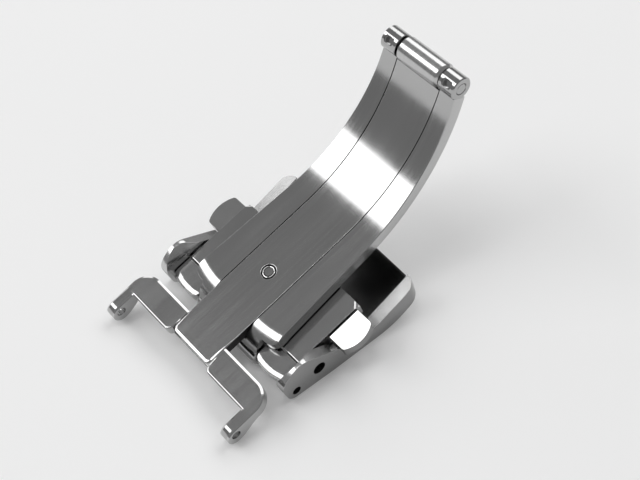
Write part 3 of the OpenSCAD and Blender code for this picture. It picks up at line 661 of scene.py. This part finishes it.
def makeYokeArm(side):
    # Its height is one until the last step gives it the real top and underside
    k = yoke
    inner, half, armInner = k["inner"], k["half"], k["half"] - k["armThick"]
    innerY, outerY, tip = -k["front"] + k["innerCorner"], -k["back"] - k["outerCorner"], k["tipY"] - k["tipRadius"]
    outline = arc(inner + k["innerCorner"], innerY, k["innerCorner"], 180, 270, 6)
    outline += [(armInner, -k["front"]), (armInner, tip), (half, tip)]
    outline += arc(half - k["outerCorner"], outerY, k["outerCorner"], 0, 90, 16)
    outline += [(inner, -k["back"])]
    bm = prism(mirroredOutline(outline, side), 0, 1)
    onTop = lambda e: sharp(e) and middle(e).z > 0.99 and abs(middle(e).x) > inner + 0.005
    outside = lambda e: middle(e).y > outerY or abs(middle(e).x) > half - 0.01
    inFront = lambda e: tip + 0.01 < middle(e).y < innerY and abs(middle(e).x) < half - 0.3
    chamfered(bm, lambda e: onTop(e) and outside(e), k["rearBevel"], k["rearAngle"], 1, 1.0, k["thick"])
    chamfered(bm, lambda e: onTop(e) and inFront(e), k["frontBevel"], k["frontAngle"], 1, 1.0, k["thick"])
    cuts = [k["underFrom"] - 0.1 * n for n in range(28)]
    cuts += [k["tipY"] - k["tipRadius"] * math.sin(math.radians(a)) for a in range(6, 88, 6)]
    sliced(bm, cuts, 1)
    warped(bm, lambda co: Vector((co.x, co.y, yokeUnder(co.y) + (yokeTop(co.y) - yokeUnder(co.y)) * co.z)))
    hole = drill((k["tipY"], k["holeZ"]), k["holeRadius"], reach=1)
    hole.transform(Matrix.Translation((side * k["holeAcross"], 0, 0)))
    sink = rod(-0.5, k["sinkDepth"], (k["tipY"], k["holeZ"]), k["holeRadius"] + k["sinkWidth"], 0.001, 48)
    sink.transform(Matrix.Translation((side * armInner, 0, 0)) @ Matrix.Scale(side, 4, (1, 0, 0)))
    bmesh.ops.recalc_face_normals(sink, faces=sink.faces)
    return carved(bm, [hole, sink])


def makeYoke():
    saddle = alongStrap(prism(yoke["saddle"], *yoke["saddleRun"]))
    softened(saddle, lambda e: sharp(e) and middle(e).z < -1.3, yoke["saddleBevel"], 3)
    piece("strapYoke", [makeYokeArm(-1), makeYokeArm(1), saddle], "tongue", "strap_yoke", ["brushed", "polished"],
          smooth=25)


def makeYokeRivets():
    r = yokeRivets
    parts = []
    upright = Matrix(((0, 1, 0, 0), (0, 0, 1, 0), (-1, 0, 0, 0), (0, 0, 0, 1)))
    for side in (-1, 1):
        bm = turned([(x, rad) for rad, x in r["head"]], (0, 0), 48)
        bm.transform(Matrix.Translation((side * r["across"], r["y"], r["z"])) @ upright)
        bmesh.ops.recalc_face_normals(bm, faces=bm.faces)
        parts.append(bm)
    piece("yokeRivets", parts, "tongue", "yoke_rivets", ["polished"])


makeYoke()
makeYokeRivets()
print("yoke made")

# Cover: two walls and a curved floor
cover = {"wallIn": 8.77, "wallOut": 9.87, "nose": (-5.97, -2.9), "noseRadius": 1.12, "hump": (-4.7, -1.62),
         "humpRadius": 1.8, "lowTop": -4.3, "notchY": -0.58, "depth": 5.9, "belly": 3.5, "bellyRadius": 9.0,
         "floor": 0.9, "floorFront": -3.1, "underFront": -2.2, "reach": 9.8, "wallInFar": 8.55, "bayEnd": 3.95,
         "crest": 0.5, "lowCrest": 0.16, "innerCrest": 0.07, "slopeCrest": 0.1, "outerCrest": 0.35, "farCrest": 0.22,
         "floorCrest": 0.08, "farCorner": 1.4, "farBow": 0.22, "tipHole": 0.475,
         "noseFront": [(-7.1, -2.3), (-7.1, -1.75), (-7.04, -1.35), (-6.9, -1.0), (-6.62, -0.66), (-6.28, -0.38),
                       (-5.93, -0.18), (-5.55, 0.0)],
         "innerSlope": [(8.0, -1.05), (8.77, -1.05), (9.52, 0.2), (9.52, 1.5), (8.0, 1.5)]}


def coverSide(bottom):
    # Side view: nose, hump, the notch behind it and the low wall, which rises towards the far end
    c = cover
    notch = c["notchY"]
    hump = arc(*c["hump"], c["humpRadius"], 104, 50, 14)
    fallY, fallZ = hump[-1]
    fallZ -= (notch - fallY) * math.tan(math.radians(40))
    near = c["lowTop"] - 0.12 * (9.3 - 4)
    points = arc(*c["nose"], c["noseRadius"], 250, 180, 12) + c["noseFront"] + hump
    points += [(notch - 0.5, fallZ + 0.42)]
    points += [(notch + 0.25 * math.sin(a), fallZ - 0.1 - 0.25 * (1 - math.cos(a))) for a in (0.6, 1.2)]
    points += [(notch + 0.35, near + 0.35), (notch + 0.5, near + 0.1), (notch + 0.8, near), (4, near)]
    return points + [(c["reach"], c["lowTop"] + 0.06)] + bottom


def bellyCurve(inset, last):
    # Underside, or the floor's top when inset is the floor's thickness, from the far edge to the flat
    c = cover
    a = math.radians(clasp["tilt"])
    centre = (c["belly"] + c["bellyRadius"] * math.sin(a),
              -c["depth"] - math.tan(a) * c["belly"] + c["bellyRadius"] * math.cos(a))
    radius = c["bellyRadius"] - inset
    endAngle = math.degrees(math.asin((last - centre[0]) / radius))
    return arc(*centre, radius, -90 + endAngle, -90 - clasp["tilt"], 16)


def coverPlan(co):
    # The far corners are rounded and the far edge bows a little
    c = cover
    x, y, z = co
    cornerX, cornerY = c["wallOut"] - c["farCorner"], c["reach"] - c["farCorner"]
    if y > cornerY:
        t = min((y - cornerY) / c["farCorner"], 0.96)
        over = abs(x) - cornerX
        if over > 0:
            x = math.copysign(cornerX + over * math.sqrt(1 - t * t), x)
    if y > 0:
        y -= c["farBow"] * (x / c["wallOut"]) ** 2 * min(y / c["reach"], 1) ** 2
    return Vector((x, y, z))


def makeCover():
    c = cover
    slope = math.tan(math.radians(clasp["tilt"]))
    front, far, beyond = c["floorFront"], c["reach"] + 2, 20
    under = bellyCurve(0, c["reach"]) + [(c["underFront"], -c["depth"] - slope * c["underFront"])]
    outer = acrossStrap(prism(coverSide(under), -c["wallOut"], c["wallOut"]))
    top = -c["depth"] + c["floor"] / math.cos(math.radians(clasp["tilt"]))
    floorLine = bellyCurve(c["floor"], far) + [(front, top - slope * front)]
    near = [(y, z) for y, z in floorLine if y < 3.5]
    bayFloor = near[0][1] - slope * (c["bayEnd"] - near[0][0])
    opening = [(front, -9), (-beyond, -9), (-beyond, beyond)]
    pocket = prism(opening + [(far, beyond)] + floorLine, -c["wallInFar"], c["wallInFar"])
    bay = prism(opening + [(c["bayEnd"], beyond), (c["bayEnd"], bayFloor)] + near, -c["wallIn"], c["wallIn"])
    cuts = [acrossStrap(pocket), acrossStrap(bay)]
    cuts += [alongStrap(prism(mirroredOutline(c["innerSlope"], side), -9, -0.2)) for side in (-1, 1)]
    bm = carved(outer, cuts)
    isRim = lambda e: abs(e.verts[0].co.x - e.verts[1].co.x) < 1e-4 and sharp(e, 40)
    isOuter = lambda e: isRim(e) and abs(abs(middle(e).x) - c["wallOut"]) < 1e-3
    isHigh = lambda e: middle(e).y < c["notchY"] - 0.3 and middle(e).z > -5.2
    onSlope = lambda e: sharp(e, 20) and c["wallIn"] + 0.02 < abs(middle(e).x) < 9.54 and middle(e).z > -1.3
    isInner = lambda e: isRim(e) and c["wallInFar"] - 0.01 < abs(middle(e).x) < c["wallIn"] + 0.01
    softened(bm, lambda e: isOuter(e) and isHigh(e), c["crest"], 6, 0)
    softened(bm, lambda e: isOuter(e) and not isHigh(e) and middle(e).z > -5.0, c["lowCrest"], 4, 0)
    softened(bm, lambda e: onSlope(e) and isHigh(e), c["slopeCrest"], 3, 0)
    softened(bm, lambda e: isInner(e) and middle(e).z > c["lowTop"] - 0.7 and middle(e).y > -5.6, c["innerCrest"],
             2, 0)
    softened(bm, isOuter, c["outerCrest"], 4, 0)
    softened(bm, lambda e: sharp(e, 40) and middle(e).y > c["reach"] - 0.4, c["farCrest"], 4, 0)
    softened(bm, lambda e: sharp(e, 40) and abs(middle(e).y - front) < 0.3, c["floorCrest"], 2, 0)
    # The bevels leave edges of no length, which the cuts don't take
    bmesh.ops.remove_doubles(bm, verts=bm.verts, dist=0.0002)
    sliced(bm, [2.0, 4.0, 6.0, 7.5] + [8.7 + 0.09 * k for k in range(13)], 1)
    sliced(bm, [-8 + 1.0 * k for k in range(17)], 0)
    warped(bm, coverPlan)
    bores = ((clasp["frontHinge"], c["tipHole"]), (clasp["strapBar"], clasp["strapBarRadius"]))
    carved(bm, [drill(*bores[0]), drill(*bores[1], 64)])
    bm.normal_update()
    for face in bm.faces:
        spot = face.calc_center_median()
        # The pocket's floor gets painted shade, and the outer wall faces get painted shade for the shadowed floor they
        # mirror.
        if abs(spot.x) < c["wallInFar"] + 0.01 and face.normal.z > 0.3 and spot.y < c["reach"] - 0.3:
            face.material_index = 1
        elif abs(spot.x) > c["wallOut"] - 0.6 and face.normal.z < 0.35:
            face.material_index = 3
        # Bores get the near-black finish: painted shade.
        if any(inBore(face, *bore) for bore in bores):
            face.material_index = 2
    piece("coverShell", [bm], "cover", "cover_shell", ["shell", "pocket", "bore", "wall"], smooth=38)


makeCover()
print("cover made")

# Hinge block: two lugs, their feet and the thin plate between
lugs = {"outer": 8.65, "inner": 4.75, "front": -6.9, "back": -4.26, "top": -1.8, "under": -4.44,
        "innerCorner": 0.75, "outerCorner": 0.2, "frontBevel": 0.26, "backBevel": 0.06,
        "fallFrom": -6.2, "fallRadius": 1.6, "bow": 0.085, "bowFrom": 6.35, "underRadius": 1.7, "barBore": 0.71,
        "foot": [(-4.11, -3.8), (-0.4, -3.8), (-0.4, -4.83), (-3.15, -4.1), (-3.15, -4.69), (-4.11, -4.44)],
        "footAcross": (5.8, 8.65),
        "plate": [(-3.15, -4.11), (-3.15, -3.86), (-0.4, -4.6), (-0.4, -4.85)], "plateHalf": 5.82}


def roundFall(over, radius, most=0.9):
    # How far a round edge has fallen at a distance past its start
    return radius - math.sqrt(radius ** 2 - min(over, most * radius) ** 2)


def fallenEdge(bm, start, radius, top, bow=0.0, bowFrom=0.0):
    # The top rolls off gently towards the strap yoke; a bowed edge is sliced finer, and across too
    sliced(bm, [start + 0.5 * (bow > 0) - 0.12 * k for k in range(14 if bow else 5)], 1)
    if bow:
        sliced(bm, [math.copysign(5.2 + 0.4 * k, bm.verts[:][0].co.x) for k in range(9)], 0)
    for v in bm.verts:
        over = start + bow * (abs(v.co.x) - bowFrom) ** 2 - v.co.y
        if over > 0 and v.co.z > top - 0.4:
            v.co.z -= roundFall(over, radius)


def makeLug(side):
    g = lugs
    innerX, innerY, outerY = g["inner"] + g["innerCorner"], g["front"] + g["innerCorner"], g["front"] + g["outerCorner"]
    outline = arc(innerX, innerY, g["innerCorner"], 180, 270, 10)
    outline += [(innerX + 0.25 * k, g["front"]) for k in range(1, 11)]
    outline += arc(g["outer"] - g["outerCorner"], outerY, g["outerCorner"], 270, 360, 4)
    outline += [(g["outer"], g["back"]), (g["inner"], g["back"])]
    bm = prism(mirroredOutline(outline, side), g["under"], g["top"])
    bowed = lambda x: g["bow"] * (abs(x) - g["bowFrom"]) ** 2
    warped(bm, lambda co: Vector((co.x, co.y + (bowed(co.x) if co.y < innerY else 0), co.z)))
    onTop = lambda e: sharp(e) and middle(e).z > g["top"] - 0.01
    atBack = lambda e: middle(e).y > g["back"] - 0.01 or abs(middle(e).x) > g["outer"] - 0.01
    softened(bm, lambda e: onTop(e) and not atBack(e), g["frontBevel"], 5)
    softened(bm, onTop, g["backBevel"], 2)
    fallenEdge(bm, g["fallFrom"], g["fallRadius"], g["top"], g["bow"], g["bowFrom"])
    for v in bm.verts:
        over = g["front"] + bowed(v.co.x) + g["underRadius"] - v.co.y
        if over > 0 and v.co.z < g["under"] + 0.01:
            v.co.z += roundFall(over, g["underRadius"], 0.95)
    carved(bm, [drill(clasp["frontHinge"], g["barBore"]), drill(clasp["strapBar"], clasp["strapBarRadius"])])
    bm.normal_update()
    # The strap bar's bore gets the near-black finish: painted shade.
    for face in bm.faces:
        if inBore(face, clasp["strapBar"], clasp["strapBarRadius"]):
            face.material_index = 2
    return bm


def makeHingeBlock():
    g = lugs
    parts = []
    for side in (-1, 1):
        parts.append(makeLug(side))
        parts.append(acrossStrap(prism(g["foot"], *sorted(side * x for x in g["footAcross"]))))
    parts.append(acrossStrap(prism(g["plate"], -g["plateHalf"], g["plateHalf"])))
    piece("hingeBlock", parts, "cover", "hinge_block", ["brushed", "polished", "bore"])


# Cap of the latch housing, with the stud's slot
cap = {"half": 8.57, "front": -4.15, "rear": 3.86, "top": -1.63, "thick": 0.35, "chamfer": 0.28,
       "slotRadius": 1.4, "swing": 0.8, "bevel": 0.11, "cornerBevel": 0.26, "frontBevel": 0.04, "holeBevel": 0.05,
       "fallFrom": -3.98, "fallRadius": 0.4, "rivets": ((4.4, -1.2), (3.2, 3.1)), "rivetRadius": 0.42,
       "rivetFloor": -1.78}


def makeCap():
    c = cap
    h, rear, cornerY = c["half"], c["rear"], c["rear"] - c["chamfer"]
    cornerX = h - c["chamfer"]
    bm = prism([(-h, c["front"]), (h, c["front"]), (h, cornerY), (cornerX, rear), (-cornerX, rear), (-h, cornerY)],
               c["top"] - c["thick"], c["top"])
    slot = arc(0, -c["swing"], c["slotRadius"], 180, 360, 24) + arc(0, 0, c["slotRadius"], 0, 180, 24)
    holes = [prism(slot, -5, 2)]
    for side in (-1, 1):
        for x, y in c["rivets"]:
            holes.append(prism(arc(side * x, y, c["rivetRadius"], 0, 360, 32)[:-1], c["rivetFloor"], 2))
    carved(bm, holes)
    onTop = lambda e: sharp(e) and middle(e).z > c["top"] - 0.01
    atCorner = lambda e: cornerY - 0.01 < middle(e).y < rear - 0.01 and abs(middle(e).x) > cornerX - 0.01
    softened(bm, lambda e: onTop(e) and atCorner(e), c["cornerBevel"], 1)
    softened(bm, lambda e: onTop(e) and abs(middle(e).y - c["front"]) < 0.02, c["frontBevel"], 2)
    softened(bm, lambda e: onTop(e) and (middle(e).y > cornerY - 0.1 or abs(middle(e).x) > h - 0.05), c["bevel"], 3)
    softened(bm, onTop, c["holeBevel"], 2)
    fallenEdge(bm, c["fallFrom"], c["fallRadius"], c["top"])
    piece("housingCap", [bm], "cover", "housing_cap", ["brushed", "polished"])


makeHingeBlock()
makeCap()
print("hinge block and cap made")

# Buttons, with the spigot that holds the spring
button = {"inner": 8.70, "apex": 11.18, "crown": 0.6, "corner": 0.36, "middle": 1.57, "half": 1.85, "top": -2.03,
          "thick": 1.25, "edge": 0.09, "lean": 4.0, "spigotRadius": 0.2, "spigotLength": 0.9}


def makeButton(side, word):
    b = button
    top, under = b["top"], b["top"] - b["thick"]
    radius = (b["half"] ** 2 + b["crown"] ** 2) / (2 * b["crown"])
    sweep = math.degrees(math.asin(b["half"] / radius))
    outline = [(b["inner"], b["middle"] - b["half"])]
    outline += arc(b["apex"] - radius, b["middle"], radius, -sweep, sweep, 20)
    outline += [(b["inner"], b["middle"] + b["half"])]
    bm = prism(mirroredOutline(outline, side), under, top)
    isEdge = lambda e: sharp(e, 40) and abs(middle(e).x) > b["inner"] + 0.02
    softened(bm, lambda e: isEdge(e) and under + 0.1 < middle(e).z < top - 0.1, b["corner"], 4, 0)
    softened(bm, isEdge, b["edge"], 3, 0)
    bm.normal_update()
    # Sides and ends get the darker steel: painted shade.
    for face in bm.faces:
        if face.normal.z < 0.5:
            face.material_index = 1
    # The top leans outward a little
    fall = math.tan(math.radians(b["lean"])) / b["thick"]
    warped(bm, lambda co: Vector((co.x, co.y, co.z - fall * (abs(co.x) - b["inner"]) * (co.z - under))))
    spigot = rod(-b["spigotLength"], 0, clasp["springLine"], b["spigotRadius"], 0.04, 32)
    spigot.transform(Matrix.Scale(side, 4, (1, 0, 0)) @ Matrix.Translation((b["inner"] + 0.02, 0, 0)))
    bmesh.ops.recalc_face_normals(spigot, faces=spigot.faces)
    piece("button" + word.capitalize(), [bm, spigot], word + "_button", "button_" + word, ["polished", "side"])


makeButton(-1, "left")
makeButton(1, "right")
print("buttons made")

# Springs as real coils
springs = {"button": {"radius": 0.345, "wire": 0.075, "turns": 9, "from": 5.37, "to": 8.8},
           "bar": {"radius": 0.36, "wire": 0.08, "turns": 46, "from": -7.3, "to": 7.3}}


def coil(ends, centre, spring, stepsPerTurn=20, sides=8):
    radius, wire = spring["radius"], spring["wire"]
    run = ends[1] - ends[0] - 2 * wire
    total = spring["turns"] * stepsPerTurn
    bm = bmesh.new()
    rings = []
    for k in range(total + 1):
        a = 2 * math.pi * k / stepsPerTurn
        x = ends[0] + wire + run * k / total
        ring = []
        for i in range(sides):
            b = 2 * math.pi * i / sides
            r = radius + wire * math.cos(b)
            place = (x + wire * math.sin(b), centre[0] + r * math.cos(a), centre[1] + r * math.sin(a))
            ring.append(bm.verts.new(place))
        rings.append(ring)
    for one, two in zip(rings, rings[1:]):
        for i in range(sides):
            j = (i + 1) % sides
            bm.faces.new((one[i], one[j], two[j], two[i]))
    bm.faces.new(rings[0])
    bm.faces.new(list(reversed(rings[-1])))
    bmesh.ops.recalc_face_normals(bm, faces=bm.faces)
    return bm


def makeSpring(name, node, kind, centre, side=1):
    spring = springs[kind]
    ends = sorted((side * spring["from"], side * spring["to"]))
    piece(name, [coil(ends, centre, spring)], "cover", node, ["spring"], smooth=60, weighted=False)


makeSpring("buttonSpringLeft", "button_spring_left", "button", clasp["springLine"], -1)
makeSpring("buttonSpringRight", "button_spring_right", "button", clasp["springLine"])
makeSpring("hingeBarSpring", "hinge_bar_spring", "bar", clasp["frontHinge"])

# The pieces that keep their own solids get their finishes
kept = {"latch_housing": "milled", "hinge_bar_tube": "turned", "hinge_bar_tips": "dull", "housing_screws": "dull",
        "cap_rivets": "polished", "catch_slide_left": "milled", "catch_slide_right": "milled",
        "slide_rivets_left": "dull", "slide_rivets_right": "dull"}
for node, look in kept.items():
    solid = frame["nodes"][node]
    solid.data.materials.clear()
    solid.data.materials.append(finishes[look])
print("springs made, solids finished")

# Floor, light and camera
stage = {"floorSize": 3.0, "floorTone": 0.86, "floorGlow": 0.10, "worldTone": 0.27, "backdrop": 0.80,
         "boxDistance": 1.2}
softboxes = [   # tilt: degrees from the upright towards the strap yoke; aside: sine towards the right
    {"name": "frontBox", "tilt": (21, 50), "aside": (-0.80, -0.22), "level": 3.2},
    {"name": "topBox", "tilt": (-9, 18), "aside": (-0.34, -0.06), "level": 3.2},
    {"name": "backBox", "tilt": (-56, -25), "aside": (-0.58, 0.34), "level": 2.0},
    {"name": "sideBox", "tilt": (-58, 35), "aside": (-0.97, -0.84), "level": 1.3},
]
camera = {"place": (0.065208, -0.043596, 0.106565), "lookAt": (0.001535, 0.001045, 0.007424), "roll": 6.2293,
          "lens": 73.1975}


def makeStage():
    s = stage
    h = s["floorSize"] / 2
    mesh = bpy.data.meshes.new("floor")
    mesh.from_pydata([(-h, -h, 0), (h, -h, 0), (h, h, 0), (-h, h, 0)], [], [(0, 1, 2, 3)])
    floor = bpy.data.objects.new("floor", mesh)
    bpy.context.scene.collection.objects.link(floor)
    finish = Finish("paleFloor")
    cloud = finish.node("ShaderNodeTexNoise", Vector=finish.node("ShaderNodeTexCoord", out="Object"),
                        Scale=14.0, Detail=3.0)
    finish.set(Base_Color=finish.toned(s["floorTone"], (0.97, 1), cloud), Roughness=0.85)
    # What the camera and the steel see of the floor is a little brighter than what the lamps give it
    seen = finish.node("ShaderNodeLightPath", out="Is Camera Ray")
    mirrored = finish.node("ShaderNodeLightPath", out="Is Glossy Ray")
    finish.set(Emission_Color=finish.mix(grey(0.0), grey(s["floorGlow"]), seen.maths("MAXIMUM", mirrored)),
               Emission_Strength=1.0)
    mesh.materials.append(finish.material)
    # Beyond the floor the camera sees a pale backdrop, which lights nothing
    world = bpy.data.worlds.new("studio")
    sky = Finish("studio", world)
    beyond = sky.node("ShaderNodeLightPath", out="Is Camera Ray")
    sky.set(Color=sky.mix(grey(s["worldTone"]), grey(s["backdrop"]), beyond))
    bpy.context.scene.world = world
    for box in softboxes:
        makeSoftbox(box)


def makeSoftbox(box):
    # It fills the given angles as they are seen from the clasp
    distance = stage["boxDistance"]
    near, far = (math.radians(k) for k in box["tilt"])
    low, high = (math.asin(k) for k in box["aside"])
    tilt, across = (near + far) / 2, (low + high) / 2
    way = Vector((math.sin(across), -math.cos(across) * math.sin(tilt), math.cos(across) * math.cos(tilt)))
    along = Vector((0, math.cos(tilt), math.sin(tilt)))
    sideways = along.cross(way).normalized()
    lamp = bpy.data.lights.new(box["name"], "AREA")
    lamp.shape = "RECTANGLE"
    lamp.size = 2 * distance * math.tan((high - low) / 2)
    lamp.size_y = 2 * distance * math.cos(across) * math.tan((far - near) / 2)
    lamp.energy = box["level"] * math.pi * lamp.size * lamp.size_y
    held = bpy.data.objects.new(box["name"], lamp)
    turn = Matrix((sideways, way.cross(sideways), way)).transposed().to_4x4()
    held.matrix_world = Matrix.Translation(way * distance) @ turn
    bpy.context.scene.collection.objects.link(held)


def makeCamera():
    c = camera
    lens = bpy.data.cameras.new("photoCamera")
    lens.lens, lens.sensor_width, lens.sensor_fit = c["lens"], 36, "HORIZONTAL"
    lens.clip_start = 0.01
    held = bpy.data.objects.new("photoCamera", lens)
    look = Vector(c["lookAt"]) - Vector(c["place"])
    turn = look.to_track_quat("-Z", "Y").to_matrix().to_4x4() @ Matrix.Rotation(math.radians(-c["roll"]), 4, "Z")
    held.matrix_world = Matrix.Translation(c["place"]) @ turn
    bpy.context.scene.collection.objects.link(held)
    bpy.context.scene.camera = held
    bpy.context.scene.view_settings.view_transform = "Standard"


makeStage()
makeCamera()
print("scene ready")
